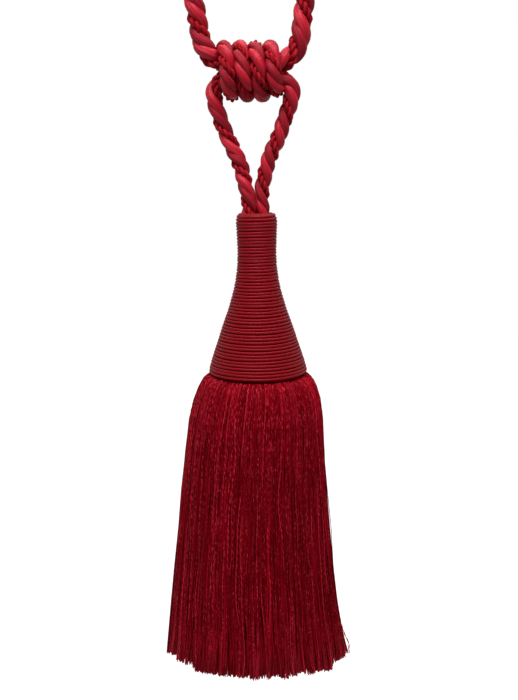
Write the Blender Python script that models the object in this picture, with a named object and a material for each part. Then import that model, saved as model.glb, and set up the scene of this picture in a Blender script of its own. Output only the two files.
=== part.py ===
"""A curtain tieback: one large tassel hung from a knotted loop of twisted rope.

The origin is the point where the top of the loop bears on its hook. X is to the right,
Y runs away from the front and Z is up. The sizes below are in millimetres, and MM turns
them into the metres of the scene.
"""

import math
import random

import bmesh
import bpy
from mathutils import Vector

MM = 0.001
PIECE_GAP = 0.3  # clear space between two pieces that touch

# Rope: three strands laid to the left, in one length from the head up and back again
ROPE_STRANDS = 3
ROPE_LAY = 25.0  # length of one full turn of the strands
ROPE_STEP = 3.4  # distance between two sections of the solid
CURVE_PIECES = 12  # short chords that a curve is measured by, between two points of the route
LOBE_POINTS = ((-22.0, 0.98), (22.0, 0.98), (60.0, 0.72))  # degrees from a crest, share of radius

# Knot: a barrel of rope turns round the two passes of the rope, its axis along X
KNOT_CENTRE = (-3.3, 0.0, -99.0)
KNOT_TURN_RADIUS = 13.15  # axis of the barrel to the middle of a turn
KNOT_ROPE = 8.4  # diameter of the turns
KNOT_PITCH = 8.75
KNOT_FIRST, KNOT_LAST = -0.22, 3.72  # in turns; a whole number is at the top of the barrel
KNOT_FRONT_TURNS = 3.5  # from the first crest on top to the last one underneath
PASS_RADIUS = 4.32  # the two passes lie this far each side of the barrel's axis

# Head: a turned form wound closely from its mouth to its rim with cord
HEAD_TOP = -180.4
HEAD_HEIGHT = 97.6
HEAD_ROWS = 51
HEAD_SIDES = 20
ROW_DEPTH = 0.5  # groove between two rows of the winding
MOUTH_RADIUS, MOUTH_DEPTH = 10.2, 2.6  # the hollow that the rope's two ends go down into
MOUTH_EDGE = 0.4  # the hollow's wall stops this far below the top
HEAD_PROFILE = (  # distance below the top, outer radius
    (0.0, 11.0), (1.6, 11.8), (4.5, 12.2), (10.5, 12.0), (22.5, 11.75), (31.5, 12.1),
    (40.5, 13.3), (46.7, 14.6), (52.8, 16.3), (59.0, 18.1), (65.1, 20.3), (71.3, 22.4),
    (77.6, 24.4), (83.8, 26.5), (90.1, 28.5), (95.5, 30.0), (97.6, 30.2),
)

# Skirt: rings of yarn locks that leave a bound root under the rim and fall round each other
ROOT_PROFILE = (  # drop below the rim, radius
    (PIECE_GAP, 25.0), (1.6, 26.6), (9.0, 26.6), (13.0, 23.0), (16.0, 10.0),
)
ROOT_SIDES = 36
LOCK_GAP = 0.7  # clear space between neighbours in a ring
END_SPREAD = 3.0  # most that a lock's end is longer or shorter than the cut
SWAY = 0.45  # most that a lock wanders in or out at its middle
ROOT_SHARE = 0.8  # width of a lock inside the root, against its width outside
NOISE_SEED = 7
LOCK_RINGS = (  # number of locks, then drop below the rim, radius and thickness down each lock
    (62, ((3.0, 24.6, 2.0), (3.3, 31.4, 2.3), (12.0, 36.9, 2.6), (36.0, 41.4, 3.0),
          (110.0, 47.4, 3.4), (182.0, 56.0, 3.8))),
    (44, ((7.4, 23.0, 1.8), (10.5, 30.2, 2.2), (22.0, 34.8, 2.6), (110.0, 42.2, 4.0),
          (181.0, 50.6, 4.4))),
    (28, ((12.6, 20.4, 2.4), (22.0, 28.4, 3.6), (110.0, 36.2, 5.4), (180.0, 43.8, 6.0))),
    (18, ((14.0, 15.5, 3.0), (90.0, 27.5, 6.0), (179.0, 34.4, 8.0))),
    (8, ((15.0, 8.4, 3.0), (90.0, 16.5, 7.0), (178.0, 22.4, 9.5))),
)

# The rope's route, with its diameter: up the left leg, through the knot, round the loop over
# the hook, through the knot again and down the right leg. It lies a little flatter in the knot.
LEFT_LEG = (
    (-4.4, -2.5, -182.4, 8.8), (-4.8, -2.5, -174.0, 8.9), (-6.2, -2.2, -165.0, 9.1),
    (-9.2, -1.2, -154.0, 9.3), (-14.0, -0.2, -142.3, 9.3), (-18.9, 0.4, -132.3, 9.3),
    (-22.4, 0.9, -123.0, 9.3), (-24.2, 1.6, -115.5, 9.1), (-24.5, 1.9, -110.4, 8.9),
    (-22.4, 1.5, -105.8, 8.7),
)
LOOP = (
    (19.6, -0.2, -91.2, 9.6), (23.6, 0.0, -85.4, 10.4), (25.5, 0.0, -78.4, 10.7),
    (26.8, 0.0, -68.0, 10.8), (27.9, 0.0, -58.0, 10.8), (28.6, 0.0, -46.0, 10.8),
    (27.8, 0.0, -33.0, 10.8), (24.4, 0.0, -20.0, 10.8), (17.8, 0.0, -8.0, 10.8),
    (8.6, 0.0, 1.8, 10.8), (-1.5, 0.0, 5.5, 10.8), (-12.5, 0.0, 2.6, 10.8),
    (-23.0, 0.0, -6.5, 10.8), (-31.0, 0.0, -19.0, 10.8), (-35.6, 0.0, -33.0, 10.8),
    (-36.8, 0.0, -46.0, 10.8), (-36.0, 0.0, -57.0, 10.8), (-34.4, 0.0, -68.0, 10.8),
    (-32.3, 0.0, -79.0, 10.6), (-29.6, -0.2, -86.7, 10.2), (-25.3, -0.4, -92.1, 9.1),
)
RIGHT_LEG = (
    (18.3, -0.8, -105.2, 8.7), (20.4, -1.0, -109.8, 8.9), (20.0, -1.0, -115.0, 9.1),
    (17.8, -0.8, -122.6, 9.3), (14.4, -0.4, -132.3, 9.3), (10.2, 0.2, -142.3, 9.3),
    (6.2, 1.2, -153.0, 9.3), (3.7, 2.2, -164.6, 9.1), (3.2, 2.5, -174.0, 8.9),
    (3.2, 2.5, -182.4, 8.8),
)
PASS_ENDS = (-17.6, 13.4)  # X where a pass comes into the barrel and where it leaves it
PASS_DIAMETER = 8.45
PASS_POINTS = 6

ROPE_RED = (0.30, 0.018, 0.028)
KNOT_RED = (0.26, 0.010, 0.019)
HEAD_RED = (0.17, 0.007, 0.012)
SKIRT_RED = (0.16, 0.004, 0.008)


def clear_scene():
    for scene_object in list(bpy.data.objects):
        bpy.data.objects.remove(scene_object, do_unlink=True)


def yarn_material(name, colour, roughness):
    material = bpy.data.materials.new(name)
    material.use_nodes = True
    shader = material.node_tree.nodes["Principled BSDF"]
    shader.inputs["Base Color"].default_value = (*colour, 1.0)
    shader.inputs["Roughness"].default_value = roughness
    shader.inputs["Metallic"].default_value = 0.0
    return material


def new_object(name, mesh_builder, material):
    """A closed mesh from mesh_builder, in metres, as an object of the scene."""
    mesh = bpy.data.meshes.new(name)
    bmesh.ops.scale(mesh_builder, vec=(MM, MM, MM), verts=mesh_builder.verts)
    bmesh.ops.recalc_face_normals(mesh_builder, faces=mesh_builder.faces)
    mesh_builder.to_mesh(mesh)
    mesh_builder.free()
    mesh.materials.append(material)
    mesh.shade_smooth()
    mesh.set_sharp_from_angle(angle=math.radians(50.0))
    scene_object = bpy.data.objects.new(name, mesh)
    bpy.context.collection.objects.link(scene_object)
    return scene_object


def add_skin(mesh_builder, rings):
    """Walls between rings of the same number of points, and a cap on the first and the last."""
    loops = [[mesh_builder.verts.new(point) for point in ring] for ring in rings]
    for lower, upper in zip(loops, loops[1:]):
        for side in range(len(lower)):
            after = (side + 1) % len(lower)
            mesh_builder.faces.new((lower[side], lower[after], upper[after], upper[side]))
    mesh_builder.faces.new(list(reversed(loops[0])))
    mesh_builder.faces.new(loops[-1])


def between(table, place):
    """The second column of a two-column table, read between its rows."""
    for (low, first), (high, second) in zip(table, table[1:]):
        if place <= high:
            return first + (second - first) * (place - low) / (high - low)
    return table[-1][1]


def smooth_curve(points, step):
    """Points about a step apart on a smooth curve through the given ones, ends kept."""
    rows = [Vector(point) for point in points]
    rows = [2 * rows[0] - rows[1], *rows, 2 * rows[-1] - rows[-2]]
    fine = []
    for before, start, end, after in zip(rows, rows[1:], rows[2:], rows[3:]):
        for piece in range(CURVE_PIECES):
            t = piece / CURVE_PIECES
            fine.append(0.5 * (2 * start + (end - before) * t
                               + (2 * before - 5 * start + 4 * end - after) * t * t
                               + (3 * start - before - 3 * end + after) * t ** 3))
    fine.append(rows[-2])
    reach = [0.0]
    for start, end in zip(fine, fine[1:]):
        reach.append(reach[-1] + (end.xyz - start.xyz).length)
    count = round(reach[-1] / step)
    sampled, index = [], 0
    for station in range(count + 1):
        place = reach[-1] * station / count
        while index < len(reach) - 2 and reach[index + 1] < place:
            index += 1
        share = (place - reach[index]) / (reach[index + 1] - reach[index])
        sampled.append(fine[index].lerp(fine[index + 1], share))
    return sampled


def rope_rings(stations):
    """Lobed sections that turn as the strands do, square to the rope's centreline."""
    rings, along = [], 0.0
    side = Vector((0.0, 1.0, 0.0))
    for index, station in enumerate(stations):
        centre, radius = station.xyz, station.w / 2
        ahead = stations[min(index + 1, len(stations) - 1)].xyz
        behind = stations[max(index - 1, 0)].xyz
        run = (ahead - behind).normalized()
        side = (side - run * side.dot(run)).normalized()
        across = run.cross(side)
        if index:
            along += (centre - stations[index - 1].xyz).length
        turn = -2 * math.pi * along / ROPE_LAY
        ring = []
        for strand in range(ROPE_STRANDS):
            for degrees, share in LOBE_POINTS:
                angle = turn + 2 * math.pi * strand / ROPE_STRANDS + math.radians(degrees)
                out = side * math.cos(angle) + across * math.sin(angle)
                ring.append(centre + out * radius * share)
        rings.append(ring)
    return rings


def knot_pass(from_top):
    """One of the two passes through the barrel: half a turn round its axis, left to right."""
    points = []
    for index in range(PASS_POINTS):
        share = index / (PASS_POINTS - 1)
        eased = share * share * (3 - 2 * share)
        angle = math.pi * (eased if from_top else eased + 1)
        points.append((
            PASS_ENDS[0] + (PASS_ENDS[1] - PASS_ENDS[0]) * share,
            KNOT_CENTRE[1] + PASS_RADIUS * math.sin(angle),
            KNOT_CENTRE[2] + PASS_RADIUS * math.cos(angle),
            PASS_DIAMETER,
        ))
    return points


def build_rope():
    route = [*LEFT_LEG, *knot_pass(False), *LOOP, *knot_pass(True), *RIGHT_LEG]
    mesh_builder = bmesh.new()
    add_skin(mesh_builder, rope_rings(smooth_curve(route, ROPE_STEP)))
    return new_object("rope", mesh_builder, yarn_material("rope_yarn", ROPE_RED, 0.45))


def build_knot():
    """The barrel's turns: over the front from top to bottom, each a pitch to the right."""
    first_x = KNOT_CENTRE[0] - KNOT_PITCH * KNOT_FRONT_TURNS / 2
    turn_length = 2 * math.pi * KNOT_TURN_RADIUS
    count = round((KNOT_LAST - KNOT_FIRST) * turn_length / ROPE_STEP)
    stations = []
    for index in range(count + 1):
        turns = KNOT_FIRST + (KNOT_LAST - KNOT_FIRST) * index / count
        angle = 2 * math.pi * turns
        stations.append(Vector((
            first_x + KNOT_PITCH * turns,
            KNOT_CENTRE[1] - KNOT_TURN_RADIUS * math.sin(angle),
            KNOT_CENTRE[2] + KNOT_TURN_RADIUS * math.cos(angle),
            KNOT_ROPE,
        )))
    mesh_builder = bmesh.new()
    add_skin(mesh_builder, rope_rings(stations))
    return new_object("knot", mesh_builder, yarn_material("knot_yarn", KNOT_RED, 0.45))


def circle(radius, height, sides):
    angles = [2 * math.pi * index / sides for index in range(sides)]
    return [(radius * math.cos(angle), radius * math.sin(angle), height) for angle in angles]


def build_head():
    """Mouth, lip, then a crest and a groove for each row of the winding, down to the rim."""
    rings = [
        circle(MOUTH_RADIUS, HEAD_TOP - MOUTH_DEPTH, HEAD_SIDES),
        circle(MOUTH_RADIUS, HEAD_TOP - MOUTH_EDGE, HEAD_SIDES),
    ]
    pitch = HEAD_HEIGHT / HEAD_ROWS
    for row in range(HEAD_ROWS):
        crest = (row + 0.5) * pitch
        rings.append(circle(between(HEAD_PROFILE, crest), HEAD_TOP - crest, HEAD_SIDES))
        if row < HEAD_ROWS - 1:
            groove = (row + 1) * pitch
            radius = between(HEAD_PROFILE, groove) - ROW_DEPTH
            rings.append(circle(radius, HEAD_TOP - groove, HEAD_SIDES))
    rings.append(circle(HEAD_PROFILE[-1][1] - ROW_DEPTH, HEAD_TOP - HEAD_HEIGHT, HEAD_SIDES))
    mesh_builder = bmesh.new()
    add_skin(mesh_builder, rings)
    return new_object("head", mesh_builder, yarn_material("head_cord", HEAD_RED, 0.5))


def lock_rings(number, count, stations, rim, noise):
    """Four-sided sections of one lock, wedges of its ring, so it stays apart from the next."""
    middle = 2 * math.pi * (number + 0.5) / count
    longer = noise.uniform(-END_SPREAD, END_SPREAD)
    wander = noise.uniform(-SWAY, SWAY)
    first, second, last = stations[0], stations[1], stations[-1]
    sideways = second[1] - first[1] > second[0] - first[0]
    rings = []
    for station in stations:
        drop, radius, thickness = station
        out, up, share = thickness / 2, 0.0, 1.0
        if station is first:
            share = ROOT_SHARE
            if sideways:
                out, up = 0.0, thickness / 2
        elif station is last:
            drop += longer
        elif station is not second:
            radius += wander
        ring = []
        for way, turn in ((1, -1), (1, 1), (-1, 1), (-1, -1)):
            reach = radius + way * out
            angle = middle + turn * share * (math.pi / count - LOCK_GAP / 2 / reach)
            ring.append((reach * math.cos(angle), reach * math.sin(angle), rim - drop + way * up))
        rings.append(ring)
    return rings


def build_skirt():
    """The bound root, joined with rings of locks that stay apart from there to their ends."""
    rim = HEAD_TOP - HEAD_HEIGHT
    material = yarn_material("skirt_yarn", SKIRT_RED, 0.55)
    root = bmesh.new()
    add_skin(root, [circle(radius, rim - drop, ROOT_SIDES) for drop, radius in ROOT_PROFILE])
    skirt = new_object("skirt", root, material)
    noise = random.Random(NOISE_SEED)
    strands = bmesh.new()
    for count, stations in LOCK_RINGS:
        for number in range(count):
            add_skin(strands, lock_rings(number, count, stations, rim, noise))
    locks = new_object("skirt_locks", strands, material)
    locks.hide_render = True
    locks.display_type = "WIRE"
    union = skirt.modifiers.new("join_locks", "BOOLEAN")
    union.operation = "UNION"
    union.solver = "EXACT"
    union.object = locks
    return skirt


clear_scene()
build_rope()
build_knot()
build_head()
build_skirt()
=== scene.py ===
import math

import bpy
import numpy as np
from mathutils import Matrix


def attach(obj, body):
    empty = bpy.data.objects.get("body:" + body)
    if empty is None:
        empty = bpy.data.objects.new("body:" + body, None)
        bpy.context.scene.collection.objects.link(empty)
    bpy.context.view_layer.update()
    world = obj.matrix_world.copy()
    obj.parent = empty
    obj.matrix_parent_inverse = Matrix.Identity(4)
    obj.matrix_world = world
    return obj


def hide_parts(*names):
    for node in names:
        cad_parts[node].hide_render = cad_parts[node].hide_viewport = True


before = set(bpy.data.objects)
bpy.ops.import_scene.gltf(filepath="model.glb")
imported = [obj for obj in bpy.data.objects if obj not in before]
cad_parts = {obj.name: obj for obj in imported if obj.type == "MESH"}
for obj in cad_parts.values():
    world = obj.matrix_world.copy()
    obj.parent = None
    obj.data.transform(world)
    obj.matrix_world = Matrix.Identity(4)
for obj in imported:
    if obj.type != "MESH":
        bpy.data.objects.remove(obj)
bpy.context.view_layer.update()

# Camera: level with the legs of the rope and tilted a little down, about an arm's length in
# front of the tassel, so that the loop runs out of the top of the picture.
CAMERA_PLACE = (0.0015, -0.585, -0.145)
CAMERA_TILT = math.radians(11.5)
CAMERA_LENS, CAMERA_SENSOR = 50.0, 36.0  # millimetres
CAMERA_NEAREST = 0.02

bpy.ops.object.select_all(action="DESELECT")
bpy.ops.object.camera_add(location=CAMERA_PLACE, rotation=(math.pi / 2 - CAMERA_TILT, 0.0, 0.0))
camera = bpy.context.object
camera.name = "camera"
camera.data.lens = CAMERA_LENS
camera.data.sensor_width = CAMERA_SENSOR
camera.data.clip_start = CAMERA_NEAREST
bpy.context.scene.camera = camera

# Rope: three strands laid to the left, a bright one and a duller one of satin floss and a
# thin one of two crepe yarns. One length goes up the left leg, through the knot, round the
# hook, through the knot again and down the right leg into the head.
LEFT_LEG = (  # place, then the rope's width there
    (-0.0044, -0.0025, -0.1824, 0.0088), (-0.0048, -0.0025, -0.1740, 0.0089),
    (-0.0062, -0.0022, -0.1650, 0.0091), (-0.0092, -0.0012, -0.1540, 0.0093),
    (-0.0140, -0.0002, -0.1423, 0.0093), (-0.0189, 0.0004, -0.1323, 0.0093),
    (-0.0224, 0.0009, -0.1230, 0.0093), (-0.0242, 0.0016, -0.1155, 0.0097),
    (-0.0245, 0.0019, -0.1104, 0.0101), (-0.0224, 0.0015, -0.1058, 0.0103),
)
LOOP = (
    (0.0196, -0.0002, -0.0912, 0.0118), (0.0236, 0.0, -0.0854, 0.0118),
    (0.0255, 0.0, -0.0784, 0.0115), (0.0268, 0.0, -0.0680, 0.0112),
    (0.0279, 0.0, -0.0580, 0.0112), (0.0286, 0.0, -0.0460, 0.0112),
    (0.0278, 0.0, -0.0330, 0.0112), (0.0244, 0.0, -0.0200, 0.0112),
    (0.0178, 0.0, -0.0080, 0.0112), (0.0086, 0.0, 0.0018, 0.0112),
    (-0.0015, 0.0, 0.0055, 0.0112), (-0.0125, 0.0, 0.0026, 0.0112),
    (-0.0230, 0.0, -0.0065, 0.0112), (-0.0310, 0.0, -0.0190, 0.0112),
    (-0.0356, 0.0, -0.0330, 0.0112), (-0.0368, 0.0, -0.0460, 0.0112),
    (-0.0360, 0.0, -0.0570, 0.0112), (-0.0344, 0.0, -0.0680, 0.0112),
    (-0.0323, 0.0, -0.0790, 0.0112), (-0.0296, -0.0002, -0.0867, 0.0116),
    (-0.0253, -0.0004, -0.0921, 0.0112),
)
RIGHT_LEG = (
    (0.0183, -0.0008, -0.1052, 0.0106), (0.0204, -0.0010, -0.1098, 0.0104),
    (0.0200, -0.0010, -0.1150, 0.0098), (0.0178, -0.0008, -0.1226, 0.0093),
    (0.0144, -0.0004, -0.1323, 0.0093), (0.0102, 0.0002, -0.1423, 0.0093),
    (0.0062, 0.0012, -0.1530, 0.0093), (0.0037, 0.0022, -0.1646, 0.0091),
    (0.0032, 0.0025, -0.1740, 0.0089), (0.0032, 0.0025, -0.1824, 0.0088),
)
KNOT_CENTRE = (-0.0033, 0.0, -0.0990)
PASS_ENDS = (-0.0176, 0.0134)  # how far right each pass goes in and comes out
PASS_RADIUS = 0.00432  # from the knot's own line to the middle of a pass
PASS_DIAMETER = 0.0092
PASS_SWELL = 0.19  # the rope is this much fuller where it comes out of the knot
PASS_POINTS = 6
ROPE_TURNS = (  # distance along the rope, turns of the strands
    (0.0, 0.26), (0.0190, -0.50), (0.0405, -1.50), (0.0685, -2.50), (0.1480, -5.50),
    (0.3286, -12.50), (0.3516, -13.49), (0.4121, -15.47), (0.4346, -16.47),
    (0.4561, -17.47), (0.4846, -18.61),
)
ROPE_SEED = 3
FULLNESS = 1.06  # how far the strands stand out beyond the rope's nominal size
STRAND_STEP = 0.0009
CURVE_PIECES = 24
FLOSS_STRANDS = (  # degrees round the rope, shift and radius as shares of the rope's width
    (0.0, 0.212, 0.283), (250.0, 0.222, 0.268),
)
FLOSS_SIDES = 22
FLOSS_TONE = -0.15  # a yarn's tone lightens its dye all along
FLOSS_BUNDLES = (4, 6, 9)  # waves of fibre round a strand
BUNDLE_DEPTH = 0.045
BUNDLE_STATIONS = 40  # stations along the strand in which the bundles wind round it once
CREPE_LAG, CREPE_SHIFT = 128.0, 0.29
CREPE_OFFSET, CREPE_YARN = 0.095, 0.108  # from the strand's middle to a yarn's, and its radius
CREPE_TONES = (-0.35, -0.25)
CREPE_SIDES = 7
CREPE_STEP = 0.00038
CREPE_LAY = 0.0053  # length in which the two crepe yarns wind round each other once
FLOSS_FIBRES = (-28.0, 3.6, 45.0)  # turns a metre, how fine round the yarn, how fine along it
CREPE_FIBRES = (300.0, 2.4, 700.0)
FIBRE_DEPTH = 0.0002
TONE_SHIFT = 91.0  # how far along the noise a yarn's tone moves its fibres
NOISE_DETAIL, NOISE_ROUGHNESS = 3.0, 0.6
NOISE_LOW, NOISE_HIGH = 0.3, 0.7  # the usual range of the noise, spread out to 0 to 1
GLOSS_TINT = (1.0, 0.56, 0.70, 1.0)  # the dye shows in the highlights too
YARN_LEAN = (0.31, 0.95, 0.02)  # a direction that no hanging yarn runs in
WAVE_SHIFT = 6  # radians, the most that a wave is moved along
MIX_FIRST, MIX_SECOND, MIX_RESULT = 6, 7, 2  # a colour mix's sockets, whose names repeat


def knot_pass(from_top):
    """One of the rope's two passes through the knot: half a turn from left to right."""
    points = []
    for index in range(PASS_POINTS):
        share = index / (PASS_POINTS - 1)
        eased = share * share * (3 - 2 * share)
        angle = math.pi * (eased if from_top else eased + 1)
        points.append((
            PASS_ENDS[0] + (PASS_ENDS[1] - PASS_ENDS[0]) * share,
            KNOT_CENTRE[1] + PASS_RADIUS * math.sin(angle),
            KNOT_CENTRE[2] + PASS_RADIUS * math.cos(angle),
            PASS_DIAMETER * (1 + PASS_SWELL * (2 * share - 1) ** 4),
        ))
    return points


def smooth_curve(points, step):
    """Rows about a step apart on a smooth curve through the given ones, ends kept."""
    rows = np.array(points, float)
    rows = np.vstack([2 * rows[0] - rows[1], rows, 2 * rows[-1] - rows[-2]])
    before, start, end, after = (rows[first:len(rows) - 3 + first, None] for first in range(4))
    t = np.linspace(0, 1, CURVE_PIECES, endpoint=False)[None, :, None]
    fine = 0.5 * (2 * start + (end - before) * t
                  + (2 * before - 5 * start + 4 * end - after) * t ** 2
                  + (3 * start - before - 3 * end + after) * t ** 3)
    fine = np.vstack([fine.reshape(-1, rows.shape[1]), rows[-2]])
    reach = walked(fine[:, :3])
    places = np.linspace(0, reach[-1], round(reach[-1] / step) + 1)
    return np.stack([np.interp(places, reach, column) for column in fine.T], axis=1)


def walked(line):
    """Distance along a line at each of its points."""
    return np.concatenate([[0.0], np.cumsum(np.linalg.norm(np.diff(line, axis=0), axis=1))])


def unit(vectors):
    """The same directions, each one long."""
    return vectors / np.linalg.norm(vectors, axis=-1, keepdims=True)


def carried_frame(line):
    """Two directions across a line at each point that don't spin round it."""
    run = unit(np.gradient(line, axis=0))
    side = np.zeros_like(run)
    carried = np.array((0.0, 1.0, 0.0))
    for index, way in enumerate(run):
        carried = unit(carried - way * carried.dot(way))
        side[index] = carried
    return side, np.cross(run, side)


def tubes(lines, radii, sides, lean=None, relief=None):
    """Points round each line: lines is yarns x stations x 3, and radii fits yarns x stations."""
    run = unit(np.gradient(lines, axis=1))
    if lean is None:
        lean = np.broadcast_to(np.array(YARN_LEAN), lines.shape)
    out = unit(lean - run * np.sum(lean * run, axis=-1, keepdims=True))
    across = np.cross(run, out)
    angles = np.arange(sides) / sides * 2 * math.pi
    radii = np.broadcast_to(radii, lines.shape[:2])[..., None]
    if relief is not None:
        radii = radii * relief
    radii = np.broadcast_to(radii, (*lines.shape[:2], sides))[..., None]
    cosines, sines = np.cos(angles)[:, None], np.sin(angles)[:, None]
    around = out[:, :, None] * cosines + across[:, :, None] * sines
    return lines[:, :, None] + around * radii


def joined(name, groups, finishes):
    """One object of closed tubes. A group is its points, its tones, distance along and finish."""
    points, faces, uvs, tones, slots, first = [], [], [], [], [], 0
    for grid, tone, along, slot in groups:
        yarns, stations, sides = grid.shape[:3]
        index = first + np.arange(yarns * stations * sides).reshape(yarns, stations, sides)
        after = np.roll(index, -1, axis=2)
        walls = np.stack([index[:, :-1], after[:, :-1], after[:, 1:], index[:, 1:]], axis=-1)
        start = np.broadcast_to(np.arange(sides) / sides, walls.shape[:3])
        end = start + 1 / sides
        low = np.broadcast_to(along[:, :-1, None], walls.shape[:3])
        high = np.broadcast_to(along[:, 1:, None], walls.shape[:3])
        wall_uvs = np.stack([start, low, end, low, end, high, start, high], axis=-1)
        caps = np.concatenate([index[:, 0, ::-1], index[:, -1]])
        cap_ends = np.concatenate([along[:, 0], along[:, -1]])
        cap_uvs = np.zeros((2 * yarns, sides, 2))
        cap_uvs[:, :, 1] = cap_ends[:, None]
        points.append(grid.reshape(-1, 3))
        faces += walls.reshape(-1, 4).tolist() + caps.tolist()
        uvs += [wall_uvs.ravel(), cap_uvs.ravel()]
        tones.append(np.repeat(np.broadcast_to(tone, (yarns, stations)), sides))
        slots += [slot] * (walls[..., 0].size + len(caps))
        first += index.size
    mesh = bpy.data.meshes.new(name)
    mesh.from_pydata(np.concatenate(points).tolist(), [], faces)
    mesh.uv_layers.new(name="yarn")
    mesh.uv_layers["yarn"].uv.foreach_set("vector", np.concatenate(uvs).astype(np.float32))
    mesh.attributes.new("tone", "FLOAT", "POINT")
    mesh.attributes["tone"].data.foreach_set("value", np.concatenate(tones).astype(np.float32))
    for finish in finishes:
        mesh.materials.append(finish)
    mesh.polygons.foreach_set("material_index", slots)
    mesh.shade_smooth()
    piece = bpy.data.objects.new(name, mesh)
    bpy.context.scene.collection.objects.link(piece)
    return piece


def dyed(red, green, blue):
    """A colour as it looks on a screen, 0 to 255 each, in the scene's own values."""
    shares = [value / 255 for value in (red, green, blue)]
    linear = [s / 12.92 if s <= 0.04045 else ((s + 0.055) / 1.055) ** 2.4 for s in shares]
    return (*linear, 1.0)


def fibre_group():
    """Fine fibres that run along a yarn and wind round it, from its UVs in turns and metres."""
    group = bpy.data.node_groups.new("yarn_fibres", "ShaderNodeTree")
    for name in ("Twist", "Fineness", "Stretch"):
        group.interface.new_socket(name, in_out="INPUT", socket_type="NodeSocketFloat")
    group.interface.new_socket("Fibre", in_out="OUTPUT", socket_type="NodeSocketFloat")
    nodes, links = group.nodes, group.links
    given = nodes.new("NodeGroupInput")
    result = nodes.new("NodeGroupOutput")
    place = nodes.new("ShaderNodeUVMap")
    place.uv_map = "yarn"
    parts = nodes.new("ShaderNodeSeparateXYZ")
    links.new(place.outputs["UV"], parts.inputs["Vector"])

    def worked_out(operation, *values):
        node = nodes.new("ShaderNodeMath")
        node.operation = operation
        for socket, value in zip(node.inputs, values):
            if isinstance(value, float):
                socket.default_value = value
            else:
                links.new(value, socket)
        return node.outputs["Value"]

    round_yarn, along_yarn = parts.outputs["X"], parts.outputs["Y"]
    wound = worked_out("MULTIPLY_ADD", along_yarn, given.outputs["Twist"], round_yarn)
    angle = worked_out("MULTIPLY", wound, 2 * math.pi)
    tone = nodes.new("ShaderNodeAttribute")
    tone.attribute_name = "tone"
    around = worked_out("MULTIPLY", worked_out("COSINE", angle), given.outputs["Fineness"])
    across = worked_out("MULTIPLY", worked_out("SINE", angle), given.outputs["Fineness"])
    length = worked_out("MULTIPLY", along_yarn, given.outputs["Stretch"])
    shifted = worked_out("MULTIPLY_ADD", tone.outputs["Fac"], TONE_SHIFT, length)
    where = nodes.new("ShaderNodeCombineXYZ")
    for socket, value in zip(where.inputs, (around, across, shifted)):
        links.new(value, socket)
    grain = nodes.new("ShaderNodeTexNoise")
    grain.inputs["Scale"].default_value = 1.0
    grain.inputs["Detail"].default_value = NOISE_DETAIL
    grain.inputs["Roughness"].default_value = NOISE_ROUGHNESS
    links.new(where.outputs["Vector"], grain.inputs["Vector"])
    spread = nodes.new("ShaderNodeMapRange")
    spread.inputs["From Min"].default_value = NOISE_LOW
    spread.inputs["From Max"].default_value = NOISE_HIGH
    links.new(grain.outputs["Fac"], spread.inputs["Value"])
    links.new(spread.outputs["Result"], result.inputs["Fibre"])
    return group


def yarn_finish(name, shade, bright, contrast, fibres, roughness, relief, gloss):
    """Dyed fibres between two colours, brighter on the yarns with a high tone."""
    material = bpy.data.materials.new(name)
    material.use_nodes = True
    nodes, links = material.node_tree.nodes, material.node_tree.links
    shader = nodes["Principled BSDF"]
    grain = nodes.new("ShaderNodeGroup")
    grain.node_tree = YARN_FIBRES
    for socket, value in zip(("Twist", "Fineness", "Stretch"), fibres):
        grain.inputs[socket].default_value = value
    tone = nodes.new("ShaderNodeAttribute")
    tone.attribute_name = "tone"
    share = nodes.new("ShaderNodeMath")
    share.operation = "MULTIPLY_ADD"
    share.use_clamp = True
    fibre_in, contrast_in, tone_in = share.inputs
    contrast_in.default_value = contrast
    links.new(grain.outputs["Fibre"], fibre_in)
    links.new(tone.outputs["Fac"], tone_in)
    colour = nodes.new("ShaderNodeMix")
    colour.data_type = "RGBA"
    colour.inputs[MIX_FIRST].default_value = dyed(*shade)
    colour.inputs[MIX_SECOND].default_value = dyed(*bright)
    links.new(share.outputs["Value"], colour.inputs["Factor"])
    links.new(colour.outputs[MIX_RESULT], shader.inputs["Base Color"])
    bump = nodes.new("ShaderNodeBump")
    bump.inputs["Strength"].default_value = relief
    bump.inputs["Distance"].default_value = FIBRE_DEPTH
    links.new(grain.outputs["Fibre"], bump.inputs["Height"])
    links.new(bump.outputs["Normal"], shader.inputs["Normal"])
    shader.inputs["Roughness"].default_value = roughness
    shader.inputs["Specular IOR Level"].default_value = gloss
    shader.inputs["Specular Tint"].default_value = GLOSS_TINT
    return material


def strand_lines(line, widths, angles, shift):
    """Centreline of a strand that winds round a rope's own line, and the way out of it."""
    side, across = carried_frame(line)
    out = side * np.cos(angles)[:, None] + across * np.sin(angles)[:, None]
    return line + out * (widths * shift)[:, None], out


def fibre_relief(stations, seed):
    """Low bundles of floss that wind slowly round a strand, as shares of its radius."""
    noise = np.random.default_rng(seed)
    around = np.arange(FLOSS_SIDES) / FLOSS_SIDES * 2 * math.pi
    turns = -stations / BUNDLE_STATIONS
    wound = np.linspace(0, turns * 2 * math.pi, stations)[:, None]
    relief = np.ones((stations, FLOSS_SIDES))
    for waves in FLOSS_BUNDLES:
        depth = BUNDLE_DEPTH * noise.uniform(0.5, 1.0)
        relief += depth * np.sin(waves * (around + wound) + noise.uniform(0, WAVE_SHIFT))
    return relief[None]


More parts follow.
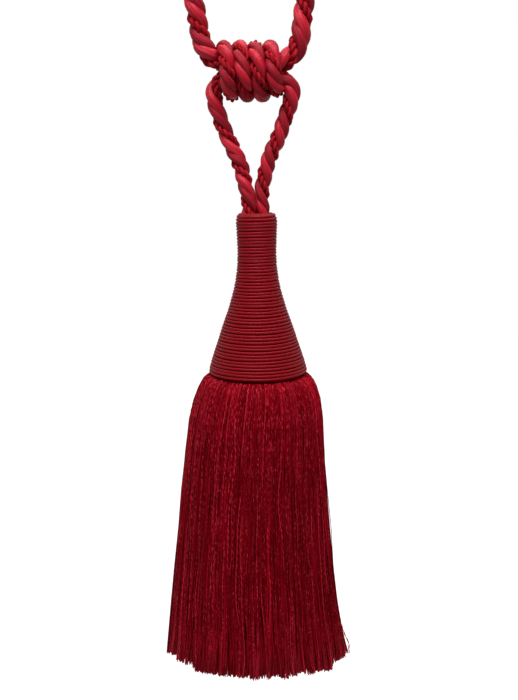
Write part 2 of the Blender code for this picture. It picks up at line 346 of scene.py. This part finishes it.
def rope_strands(line, widths, turns, seed):
    """Groups for joined(): bright floss, duller floss and the two yarns of the crepe strand."""
    reach = walked(line)
    angles = np.array(turns) * 2 * math.pi
    groups = []
    for slot, (lag, shift, size) in enumerate(FLOSS_STRANDS):
        path, out = strand_lines(line, widths, angles + math.radians(lag), shift)
        relief = fibre_relief(len(line), seed + slot)
        grid = tubes(path[None], (widths * size)[None], FLOSS_SIDES, out[None], relief)
        groups.append((grid, np.array([FLOSS_TONE]), reach[None], slot))
    places = np.linspace(0, reach[-1], round(reach[-1] / CREPE_STEP) + 1)
    fine = np.stack([np.interp(places, reach, column) for column in line.T], axis=1)
    fine_widths = np.interp(places, reach, widths)
    fine_angles = np.interp(places, reach, angles) + math.radians(CREPE_LAG)
    core, core_out = strand_lines(fine, fine_widths, fine_angles, CREPE_SHIFT)
    core_across = np.cross(unit(np.gradient(core, axis=0)), core_out)
    for half, tone in enumerate(CREPE_TONES):
        wind = 2 * math.pi * places / CREPE_LAY + half * math.pi
        off = core_out * np.cos(wind)[:, None] + core_across * np.sin(wind)[:, None]
        path = core + off * (fine_widths * CREPE_OFFSET)[:, None]
        grid = tubes(path[None], (fine_widths * CREPE_YARN)[None], CREPE_SIDES, off[None])
        groups.append((grid, np.array([tone]), places[None], len(FLOSS_STRANDS)))
    return groups


YARN_FIBRES = fibre_group()
ROPE_FINISHES = (
    yarn_finish(
        "bright_floss", shade=(156, 5, 27), bright=(179, 33, 48), contrast=1.2,
        fibres=FLOSS_FIBRES, roughness=0.42, relief=1.0, gloss=0.28),
    yarn_finish(
        "dull_floss", shade=(124, 4, 20), bright=(146, 25, 38), contrast=1.2,
        fibres=FLOSS_FIBRES, roughness=0.5, relief=1.0, gloss=0.2),
    yarn_finish(
        "crepe_yarn", shade=(129, 4, 16), bright=(176, 32, 44), contrast=1.2,
        fibres=CREPE_FIBRES, roughness=0.65, relief=0.9, gloss=0.1),
)

route = smooth_curve(
    [*LEFT_LEG, *knot_pass(False), *LOOP, *knot_pass(True), *RIGHT_LEG], STRAND_STEP)
rope_line, rope_widths = route[:, :3], route[:, 3] * FULLNESS
marks = np.array(ROPE_TURNS)
rope_turns = np.interp(walked(rope_line), marks[:, 0], marks[:, 1])
rope = joined(
    "rope_strands", rope_strands(rope_line, rope_widths, rope_turns, ROPE_SEED), ROPE_FINISHES)
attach(rope, "root")
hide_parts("rope")

# Knot: the same rope, wound four times round its own two passes as a barrel. The turns go
# over the front from top to bottom, each beside the last, and both ends are tucked in
# against the passes, the last one low on the right.
KNOT_TURN_RADIUS = 0.01285
KNOT_ROPE = 0.0092  # the rope's width in the turns
KNOT_PITCH = 0.00875  # from one turn to the next
KNOT_FIRST, KNOT_LAST = -0.22, 3.72  # where the winding starts and stops, in turns
KNOT_FRONT_TURNS = 3.5
KNOT_STATIONS = 360
KNOT_SEED = 11
KNOT_TUCKS = ((0.20, 0.0030), (0.50, 0.0068))  # each tucked end's length in turns, how far in
TUCK_SQUEEZE = 0.25  # how much thinner the rope is pressed at a tucked end
KNOT_TURNS = (  # turns of the barrel, turns of the strands
    (-0.22, 1.22), (0.144, 0.0), (0.40, -1.0), (1.295, -4.0), (2.19, -7.0), (3.10, -10.0),
    (3.347, -11.0), (3.72, -12.3),
)

barrel = np.linspace(KNOT_FIRST, KNOT_LAST, KNOT_STATIONS)
barrel_angle = 2 * math.pi * barrel
(first_reach, first_depth), (last_reach, last_depth) = KNOT_TUCKS
first_tuck = np.clip(1 - (barrel - KNOT_FIRST) / first_reach, 0, 1) ** 2
last_tuck = np.clip(1 - (KNOT_LAST - barrel) / last_reach, 0, 1) ** 2
knot_radius = KNOT_TURN_RADIUS - first_depth * first_tuck - last_depth * last_tuck
knot_line = np.stack([
    KNOT_CENTRE[0] - KNOT_PITCH * KNOT_FRONT_TURNS / 2 + KNOT_PITCH * barrel,
    KNOT_CENTRE[1] - knot_radius * np.sin(barrel_angle),
    KNOT_CENTRE[2] + knot_radius * np.cos(barrel_angle),
], axis=1)
knot_out = np.stack([np.zeros(KNOT_STATIONS), -np.sin(barrel_angle), np.cos(barrel_angle)], axis=1)
knot_side, knot_across = carried_frame(knot_line)
facing = np.unwrap(np.arctan2(np.sum(knot_out * knot_across, axis=1),
                              np.sum(knot_out * knot_side, axis=1)))
marks = np.array(KNOT_TURNS)
knot_turns = np.interp(barrel, marks[:, 0], marks[:, 1]) + facing / (2 * math.pi)
knot_widths = KNOT_ROPE * FULLNESS * (1 - TUCK_SQUEEZE * (first_tuck + last_tuck))
knot = joined(
    "knot_turns", rope_strands(knot_line, knot_widths, knot_turns, KNOT_SEED), ROPE_FINISHES)
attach(knot, "root")
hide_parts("knot")

# Head: a turned form, made solid here without the hollow in its top for the rope's ends,
# covered from its mouth to its rim with one fine cord that is wound on in close rows, which
# rise to the right, and glued. It hangs a little out of true, with its rim to the right of its
# mouth.
HEAD_TOP = -0.1804
HEAD_HEIGHT = 0.0976
HEAD_ROWS = 51
HEAD_PROFILE = (  # distance below the top, outer radius
    (0.0, 0.0112), (0.0016, 0.0121), (0.0045, 0.0125), (0.0105, 0.0122), (0.0225, 0.0118),
    (0.0315, 0.0121), (0.0405, 0.0133), (0.0467, 0.0146), (0.0528, 0.0163), (0.0590, 0.0181),
    (0.0651, 0.0203), (0.0713, 0.0224), (0.0776, 0.0244), (0.0838, 0.0265), (0.0901, 0.0285),
    (0.0955, 0.0300), (0.0976, 0.0302),
)
HEAD_LEAN = 0.010  # how far right the head goes for each unit down
HEAD_SEED = 5
FORM_INSET = 0.0012
FORM_TOP, FORM_FOOT = 0.0006, 0.0004  # the form ends this far inside the winding at each end
FORM_SIDES = 64
HEAD_CORD = 0.00092  # radius
CORD_DEPTH = 0.80  # the wound cord's thickness as a share of its height in the row
CORD_SIDES = 10
ROW_STATIONS = 84
ROW_INSET = 0.0009  # from the head's top to the first row's middle, and from the last to the rim
ROW_WAVER = (  # waves in each turn, size
    (0.37, 0.00010), (1.6, 0.00005), (2.9, 0.00005), (5.3, 0.00003),
)
ROW_TONE = 0.18
TOP_TURNS = ((0.0090, 0.0008), (0.0103, 0.0013))  # level turns at the mouth: radius, depth
TOP_TONE = 0.16
CORD_SHEEN = 0.85
QUARTER_TURN = 0.25
BURIED_FIBRES = (0.0, 2.0, 40.0)  # on the forms that the cord and the yarns hide


def turned_form(name, profile, top, lean=0.0):
    """A solid turned from its drops below the top and its radii, closed at both ends."""
    bpy.ops.object.select_all(action="DESELECT")
    bpy.ops.mesh.primitive_circle_add(
        vertices=FORM_SIDES, radius=profile[0][1], fill_type="NGON",
        location=(0.0, 0.0, top - profile[0][0]))
    form = bpy.context.object
    form.name = name
    bpy.ops.object.mode_set(mode="EDIT")
    bpy.ops.mesh.select_all(action="SELECT")
    for (above, wide), (below, wider) in zip(profile, profile[1:]):
        step = (lean * (below - above), 0.0, above - below)
        bpy.ops.mesh.extrude_region_move(TRANSFORM_OT_translate={"value": step})
        bpy.ops.transform.resize(value=(wider / wide, wider / wide, 1.0))
    bpy.ops.mesh.select_all(action="SELECT")
    bpy.ops.mesh.normals_make_consistent(inside=False)
    bpy.ops.object.mode_set(mode="OBJECT")
    bpy.ops.object.transform_apply(location=True, rotation=True, scale=True)
    return form


head_cord = yarn_finish(
    "head_cord", shade=(101, 0, 5), bright=(138, 1, 14), contrast=0.5,
    fibres=(420.0, 1.4, 120.0), roughness=0.34, relief=0.25, gloss=0.24)
sheen = head_cord.node_tree.nodes["Principled BSDF"]
sheen.inputs["Anisotropic"].default_value = CORD_SHEEN
sheen.inputs["Anisotropic Rotation"].default_value = QUARTER_TURN
round_cord = head_cord.node_tree.nodes.new("ShaderNodeTangent")
round_cord.direction_type = "UV_MAP"
round_cord.uv_map = "yarn"
head_cord.node_tree.links.new(round_cord.outputs["Tangent"], sheen.inputs["Tangent"])
form_dye = yarn_finish(
    "form_under_winding", shade=(112, 0, 5), bright=(126, 0, 8), contrast=0.5,
    fibres=BURIED_FIBRES, roughness=0.8, relief=0.2, gloss=0.0)

form_profile = [(drop, radius - FORM_INSET) for drop, radius in HEAD_PROFILE]
form_profile[0] = (FORM_TOP, form_profile[0][1])
form_profile[-1] = (form_profile[-1][0] - FORM_FOOT, form_profile[-1][1])
form = turned_form("head_form", form_profile, HEAD_TOP, HEAD_LEAN)
form.data.materials.append(form_dye)
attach(form, "root")

pitch = HEAD_HEIGHT / HEAD_ROWS
wound = np.arange(HEAD_ROWS * ROW_STATIONS + 1) / ROW_STATIONS
noise = np.random.default_rng(HEAD_SEED)
depth = wound * pitch
profile = np.array(HEAD_PROFILE)
row_radius = np.interp(depth, profile[:, 0], profile[:, 1]) - HEAD_CORD * CORD_DEPTH
waver = np.zeros_like(wound)
for waves, size in ROW_WAVER:
    waver += size * np.sin(2 * math.pi * waves * wound + noise.uniform(0, WAVE_SHIFT))
row_angle = math.pi / 2 - 2 * math.pi * wound
rows = np.stack([
    HEAD_LEAN * depth + row_radius * np.cos(row_angle),
    row_radius * np.sin(row_angle),
    HEAD_TOP - ROW_INSET - depth * (HEAD_HEIGHT - 2 * ROW_INSET) / HEAD_HEIGHT + waver,
], axis=1)
turn_angle = np.arange(ROW_STATIONS + 1) / ROW_STATIONS * 2 * math.pi
top_turns = [np.stack([
    radius * np.cos(turn_angle),
    radius * np.sin(turn_angle),
    np.full_like(turn_angle, HEAD_TOP - below),
], axis=1) for radius, below in TOP_TURNS]
cord_angle = np.arange(CORD_SIDES) / CORD_SIDES * 2 * math.pi
cord_form = 1 / np.hypot(np.cos(cord_angle) / CORD_DEPTH, np.sin(cord_angle))[None, None]
windings = []
for line, tone in ((rows, ROW_TONE), *((turn, TOP_TONE) for turn in top_turns)):
    outward = line * np.array((1.0, 1.0, 0.0))
    radii = np.full((1, len(line)), HEAD_CORD)
    grid = tubes(line[None], radii, CORD_SIDES, outward[None], cord_form)
    windings.append((grid, np.array([tone]), walked(line)[None], 0))
winding = joined("head_winding", windings, (head_cord,))
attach(winding, "root")
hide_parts("head")

# Skirt: cut yarns, bound in a root that is glued up inside the head's rim. Smooth ones,
# slubbed ones with painted glints and a few crimped ones are mixed, come out level under the rim,
# turn over a short shoulder and hang to one cut, and they gather in loose locks towards their
# ends.
RIM = HEAD_TOP - HEAD_HEIGHT
SHOULDER = (  # drop below the rim, radius of the outermost yarns
    (0.0006, 0.0225), (0.0003, 0.0262), (0.0005, 0.0290), (0.0016, 0.0314), (0.0032, 0.0335),
    (0.0052, 0.0349), (0.0081, 0.0363), (0.0115, 0.0377), (0.0177, 0.0395), (0.0241, 0.0409),
    (0.0370, 0.0423), (0.0500, 0.0434), (0.0700, 0.0450), (0.0900, 0.0470), (0.1100, 0.0485),
    (0.1310, 0.0507), (0.1510, 0.0527), (0.1680, 0.0549), (0.1790, 0.0569),
)
ROOT_PROFILE = (
    (0.0004, 0.0240), (0.0018, 0.0258), (0.0090, 0.0258), (0.0130, 0.0222), (0.0160, 0.0100),
)
SHOULDER_STEP = 0.0006
SKIRT_SEED = 21
OUTER_SATIN = (  # yarns, depth behind the outermost, yarn radius, tone
    (300, 0.0005, 0.00038, 0.05), (280, 0.0013, 0.00042, 0.0),
)
# slubbed yarns, whose low tones leave only their painted glints bright
OUTER_SLUB_GLINTS = ((380, 0.0003, 0.00036, -1.6), (300, 0.0011, 0.00040, -1.65))
STRAYS = (36, 0.0001, 0.00022, 0.1)
DEEPER_SATIN = (
    (420, 0.0022, 0.00050, 0.0), (340, 0.0038, 0.00058, 0.0), (240, 0.0066, 0.00074, -0.05),
)
CRIMPED = ((56, 0.0001, 0.00036, 0.1), (36, 0.0007, 0.00038, 0.0))
FLOSS_SLOT, SLUB_GLINT_SLOT = 0, 1  # a ring's place among its piece's finishes
STRAY_SWAY, CRIMP_SWAY = 1.8, 1.3  # how much more they sway than the other yarns
INNER_SATIN = (  # yarns, share of the skirt's radius
    (280, 0.80), (230, 0.70), (180, 0.59), (140, 0.48), (100, 0.37), (66, 0.26), (36, 0.15),
    (8, 0.05),
)
INNER_WANDER = 0.05  # how far a yarn is from that share
INNER_RADIUS = 0.0010
INNER_TONE = -0.05
INNER_SPREAD = (  # drop below the rim, radius
    (0.0080, 0.0240), (0.0500, 0.0420), (0.1750, 0.0560),
)
INNER_STATIONS = 8
YARN_SIDES = 4
YARN_SIZES = (0.75, 1.25)  # the finest and the thickest yarn of a ring, as shares of its radius
YARN_PLACES = (  # where a yarn has its points, closest together over the shoulder
    0.0, 0.0035, 0.0065, 0.0095, 0.0125, 0.017, 0.025, 0.038, 0.058, 0.082, 0.106, 0.130, 0.152,
    0.172, 0.188,
)
OUTLINE_INSET = 0.0005  # all the outer yarns are this much further in than the shoulder says
BESIDE_WANDER = 0.45  # how far a yarn is from its even place, as a share of the spacing
DEPTH_WANDER = 0.3  # and from its own depth, as a share of the room there
DEPTH_ROOM, DEPTH_GROWTH = 0.0008, 0.12  # the room at the outside, its growth with the depth
BLUNT_SHARE = 0.75  # how thick a yarn still is at the cut
BLUNT_LENGTH = 0.005  # length in which it would thin away to nothing
PAINTED_SHEEN = 0.5  # painted sheen: how far the brightest yarn is painted above its ring's tone
PAINTED_SHEEN_RARITY = 3  # the higher it is, the fewer yarns come near that
CUT_PAINTED_LIGHT = 0.9  # painted light: how much paler a yarn is painted at the cut, to lift the shade among the ends
CUT_PAINTED_LIGHT_LENGTH = 0.018
CRIMP_STATIONS = 140
CRIMP_SIDES = 3
CRIMP_LENGTH = 0.0044
CRIMP_BEND, CRIMP_DEPTH = 0.00022, 0.6  # sideways, and in and out as a share of that
CRIMP_BEADS = 0.35  # how much thicker a crimped yarn is at one bend, and thinner at the next
CRIMP_START = 0.006  # length in which the crimp grows to its full size
SPARE_LENGTH = -0.0013  # from the end of the shoulder's line to the middle of the cut
CUT_SPREAD = 0.0009  # how far a single yarn ends above or below the cut
CUT_WAVES = ((7, 0.0005), (19, 0.0005), (41, 0.0004))  # waves round the cut, size
CUT_TILT = 0.0028  # the cut hangs this much lower at the sides and higher at front and back
CUT_SLANT = 0.0018  # and this much lower on the right than in the middle
TUFTS = (  # angle, half width, how much longer, how far it flares
    (math.pi, 0.17, 0.0080, 0.0004), (-0.10, 0.13, 0.0035, 0.0026), (-0.60, 0.20, 0.0020, 0.0),
    (-1.15, 0.20, -0.0015, 0.0),
)
CENTRE_DRIFT = (  # drop below the rim, shift to the right
    (0.0, 0.0010), (0.012, 0.0006), (0.035, -0.0007), (0.070, -0.0017), (0.130, -0.0017),
    (0.184, -0.0005),
)
GATHERS = ((13, 0.0004), (23, 0.0005), (37, 0.0005), (61, 0.0003))  # waves round the skirt, size
GATHER_START = 0.01  # length along a yarn at which it starts to gather
GATHER_LEAN = 1.2  # radians that a gather moves round its own wave on the way down
GATHER_RELIEF, GATHER_AT_ROOT = 0.9, 0.35  # in and out as a share of sideways, part of it at once
GATHER_LOSS, GATHER_REACH = 0.85, 0.006  # the share that is lost, and the depth where it is
FLARE_START = 0.91  # share of the way down at which the tufts start to flare
SWAYS = ((0.8, 0.0010), (1.9, 0.0006), (3.9, 0.0003))  # waves down each yarn, size
SWAY_START = 0.05  # length in which they grow to their full size
SWAY_DEPTH = 0.35  # in and out, as a share of sideways
LEAST_RADIUS = 0.01  # nearer to the middle than this, a shift sideways turns a yarn no further

skirt_floss = yarn_finish(
    "skirt_floss", shade=(83, 0, 5), bright=(160, 5, 27), contrast=0.45,
    fibres=(60.0, 1.2, 60.0), roughness=0.42, relief=0.4, gloss=0.03)
# slubbed yarns whose bright dots are painted glints where the slubs would catch the light
skirt_slub_glints = yarn_finish(
    "skirt_slub_glints", shade=(101, 1, 10), bright=(214, 54, 70), contrast=2.4,
    fibres=(40.0, 0.7, 500.0), roughness=0.5, relief=0.6, gloss=0.02)
skirt_crepe = yarn_finish(
    "skirt_crepe", shade=(80, 0, 4), bright=(190, 32, 50), contrast=0.9,
    fibres=(260.0, 0.7, 600.0), roughness=0.55, relief=0.8, gloss=0.02)
root_binding = yarn_finish(
    "root_binding", shade=(60, 0, 2), bright=(80, 0, 4), contrast=0.5,
    fibres=BURIED_FIBRES, roughness=0.8, relief=0.2, gloss=0.0)

root = turned_form("skirt_root", ROOT_PROFILE, RIM)
root.data.materials.append(root_binding)
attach(root, "root")

noise = np.random.default_rng(SKIRT_SEED)
outer = smooth_curve([(radius, 0.0, -drop) for drop, radius in SHOULDER], SHOULDER_STEP)
outer_reach = walked(outer)
outer_run = unit(np.gradient(outer, axis=0))
gather_phases = noise.uniform(0, 2 * math.pi, len(GATHERS))
cut_phases = noise.uniform(0, 2 * math.pi, len(CUT_WAVES))
drift = np.array(CENTRE_DRIFT)


def ring_angles(count):
    """Directions of a ring's yarns, nearly even."""
    wander = noise.uniform(-BESIDE_WANDER, BESIDE_WANDER, count)
    return (np.arange(count) + wander) / count * 2 * math.pi


def hanging_yarns(count, depth, places, sway=1.0):
    """Lines of one ring of yarns, whose points are spaced along them as the places are."""
    angles = ring_angles(count)
    wander = noise.uniform(-DEPTH_WANDER, DEPTH_WANDER, count)
    behind = depth + wander * (DEPTH_ROOM + depth * DEPTH_GROWTH)
    behind = np.maximum(behind, 0)[:, None]
    spare = SPARE_LENGTH + noise.uniform(-CUT_SPREAD, CUT_SPREAD, count)
    spare += CUT_TILT * np.cos(2 * angles) + CUT_SLANT * np.cos(angles)
    for (waves, size), phase in zip(CUT_WAVES, cut_phases):
        spare += size * np.sin(waves * angles + phase)
    flares = []
    for angle, half_width, longer, flare in TUFTS:
        off = (angles - angle + math.pi) % (2 * math.pi) - math.pi
        near = np.exp(-(off / half_width) ** 2)
        spare += longer * near
        flares.append((flare * near)[:, None])
    reach = places[None] / places[-1] * (outer_reach[-1] + spare[:, None])
    radius = np.interp(reach, outer_reach, outer[:, 0])
    height = np.interp(reach, outer_reach, outer[:, 2]) - np.maximum(reach - outer_reach[-1], 0)
    radius = radius + np.interp(reach, outer_reach, outer_run[:, 2]) * behind
    height = height - np.interp(reach, outer_reach, outer_run[:, 0]) * behind
    down = np.clip((reach - GATHER_START) / (outer_reach[-1] - GATHER_START), 0, 1)
    sideways = np.zeros_like(reach)
    lift = sum(flares) * np.clip((down - FLARE_START) / (1 - FLARE_START), 0, 1) ** 2
    gathered = 1 - GATHER_LOSS * min(depth / GATHER_REACH, 1)
    for (waves, size), phase in zip(GATHERS, gather_phases):
        size *= gathered
        turn = (waves * angles + phase)[:, None] + GATHER_LEAN * down
        sideways += size * down * np.sin(turn)
        lift -= GATHER_RELIEF * size * (GATHER_AT_ROOT + down) * np.cos(turn)
    for waves, size in SWAYS:
        phase = noise.uniform(0, 2 * math.pi, (2, count, 1))
        turn = 2 * math.pi * waves * reach / outer_reach[-1]
        share = np.clip(reach / SWAY_START, 0, 1) * sway
        sideways += size * share * np.sin(turn + phase[0])
        lift += SWAY_DEPTH * size * share * np.sin(turn + phase[1])
    radius = radius + lift - OUTLINE_INSET
    turned = angles[:, None] + sideways / np.maximum(radius, LEAST_RADIUS)
    centre = np.interp(-height, drift[:, 0], drift[:, 1])
    lines = np.stack([
        centre + radius * np.cos(turned), radius * np.sin(turned), RIM + height,
    ], axis=2)
    return lines, reach


def yarn_radii(reach, radius, count):
    """A yarn's radius down its length: its own size, then a blunt point at the cut."""
    own = radius * noise.uniform(*YARN_SIZES, (count, 1))
    to_end = reach[:, -1:] - reach
    return own * np.clip(BLUNT_SHARE + to_end / BLUNT_LENGTH, BLUNT_SHARE, 1.0)


def yarn_tones(tone, reach):
    """Most yarns near the tone, a few painted paler as painted sheen, and all painted paler at the
    cut as painted light.
    """
    to_end = reach[:, -1:] - reach
    # painted sheen: a few yarns painted much paler than their ring
    own = tone + PAINTED_SHEEN * noise.random((len(reach), 1)) ** PAINTED_SHEEN_RARITY
    # painted light: paler towards the cut, against the shade among the ends
    return own + CUT_PAINTED_LIGHT * np.clip(1 - to_end / CUT_PAINTED_LIGHT_LENGTH, 0, 1)


def satin_ring(count, depth, radius, tone, slot, sway=1.0):
    """One ring of smooth yarns or of slubbed ones with painted glints, as a group for joined()."""
    lines, reach = hanging_yarns(count, depth, np.array(YARN_PLACES), sway)
    grid = tubes(lines, yarn_radii(reach, radius, count), YARN_SIDES)
    return grid, yarn_tones(tone, reach), reach, slot


def inner_ring(count, share):
    """Yarns that hang straight from inside the root to the cut, at a share of the radius."""
    spread_drops, spread_radii = np.array(INNER_SPREAD).T
    angles = ring_angles(count)
    wide = share + noise.uniform(-INNER_WANDER, INNER_WANDER, (count, 1))
    longer = noise.uniform(-CUT_SPREAD, CUT_SPREAD, count)
    longer += share * (CUT_TILT * np.cos(2 * angles) + CUT_SLANT * np.cos(angles))
    ends = spread_drops[-1] + longer[:, None]
    drops = spread_drops[0] + np.linspace(0, 1, INNER_STATIONS) * (ends - spread_drops[0])
    radius = wide * np.interp(drops, spread_drops, spread_radii)
    lines = np.stack([
        np.interp(drops, drift[:, 0], drift[:, 1]) + radius * np.cos(angles)[:, None],
        radius * np.sin(angles)[:, None],
        RIM - drops,
    ], axis=2)
    grid = tubes(lines, yarn_radii(drops, INNER_RADIUS, count), YARN_SIDES)
    return grid, yarn_tones(INNER_TONE, drops), drops, FLOSS_SLOT


def crimped_ring(count, depth, radius, tone):
    """Yarns with a close wave, thicker on one side of it and thinner on the other."""
    lines, reach = hanging_yarns(count, depth, np.linspace(0, 1, CRIMP_STATIONS), CRIMP_SWAY)
    waves = reach / CRIMP_LENGTH * 2 * math.pi + noise.uniform(0, WAVE_SHIFT, (count, 1))
    bend = np.clip(reach / CRIMP_START, 0, 1) * CRIMP_BEND
    flat = unit(lines * np.array((1.0, 1.0, 0.0)))
    beside = np.cross(np.array((0.0, 0.0, 1.0)), flat)
    lines = lines + beside * (bend * np.sin(waves))[..., None]
    lines = lines + flat * (bend * CRIMP_DEPTH * np.cos(waves))[..., None]
    beads = 1.0 + CRIMP_BEADS * np.sin(waves)
    grid = tubes(lines, yarn_radii(reach, radius, count) * beads, CRIMP_SIDES)
    return grid, yarn_tones(tone, reach), reach, 0


outer_yarns = joined(
    "skirt_outer_yarns",
    [satin_ring(*layer, FLOSS_SLOT) for layer in OUTER_SATIN]
    + [satin_ring(*layer, SLUB_GLINT_SLOT) for layer in OUTER_SLUB_GLINTS]
    + [satin_ring(*STRAYS, FLOSS_SLOT, STRAY_SWAY)],
    (skirt_floss, skirt_slub_glints))
deeper_yarns = joined(
    "skirt_deeper_yarns", [satin_ring(*layer, FLOSS_SLOT) for layer in DEEPER_SATIN],
    (skirt_floss,))
inner_yarns = joined(
    "skirt_inner_yarns", [inner_ring(*layer) for layer in INNER_SATIN], (skirt_floss,))
crimped_yarns = joined(
    "skirt_crimped_yarns", [crimped_ring(*layer) for layer in CRIMPED], (skirt_crepe,))
for yarns in (outer_yarns, deeper_yarns, inner_yarns, crimped_yarns):
    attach(yarns, "root")
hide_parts("skirt")

# Studio: a white floor well below the tassel that shows to the camera alone, a wide soft
# light above the front, a weaker one above the back, and even light from all round that is
# dimmer than the white ground the camera sees.
FLOOR_HEIGHT = -1.0
FLOOR_SIZE = 8.0
WHITE = (1.0, 1.0, 1.0, 1.0)
PAPER_GREY = (0.25, 0.25, 0.25, 1.0)  # under the floor's own even white
PAPER_ROUGHNESS = 0.9
SOFT_LIGHTS = (  # name, place, tilt in degrees, power
    ("key", (0.0, -0.62, 0.95), 27.0, 27.0), ("back", (0.0, 0.62, 0.95), -27.0, 7.0),
)
LIGHT_WIDTH, LIGHT_DEPTH = 1.4, 0.4
ROUND_LIGHT = 0.5

bpy.ops.object.select_all(action="DESELECT")
bpy.ops.mesh.primitive_plane_add(size=FLOOR_SIZE, location=(0.0, 0.0, FLOOR_HEIGHT))
floor = bpy.context.object
floor.name = "floor"
paper = bpy.data.materials.new("white_paper")
paper.use_nodes = True
white = paper.node_tree.nodes["Principled BSDF"]
white.inputs["Base Color"].default_value = PAPER_GREY
white.inputs["Roughness"].default_value = PAPER_ROUGHNESS
white.inputs["Emission Color"].default_value = WHITE
white.inputs["Emission Strength"].default_value = 1.0
floor.data.materials.append(paper)
floor.visible_diffuse = False
floor.visible_glossy = False

for name, place, tilt, power in SOFT_LIGHTS:
    light = bpy.data.lights.new(name, "AREA")
    light.energy = power
    light.shape = "RECTANGLE"
    light.size = LIGHT_WIDTH
    light.size_y = LIGHT_DEPTH
    lamp = bpy.data.objects.new(name, light)
    bpy.context.scene.collection.objects.link(lamp)
    lamp.location = place
    lamp.rotation_euler = (math.radians(tilt), 0.0, 0.0)

world = bpy.data.worlds.new("even_light")
world.use_nodes = True
ground = world.node_tree.nodes["Background"]
ground.inputs["Color"].default_value = WHITE
ray = world.node_tree.nodes.new("ShaderNodeLightPath")
strength = world.node_tree.nodes.new("ShaderNodeMix")
strength.inputs["A"].default_value = ROUND_LIGHT
strength.inputs["B"].default_value = 1.0
world.node_tree.links.new(ray.outputs["Is Camera Ray"], strength.inputs["Factor"])
world.node_tree.links.new(strength.outputs["Result"], ground.inputs["Strength"])
bpy.context.scene.world = world
bpy.context.scene.view_settings.view_transform = "Standard"
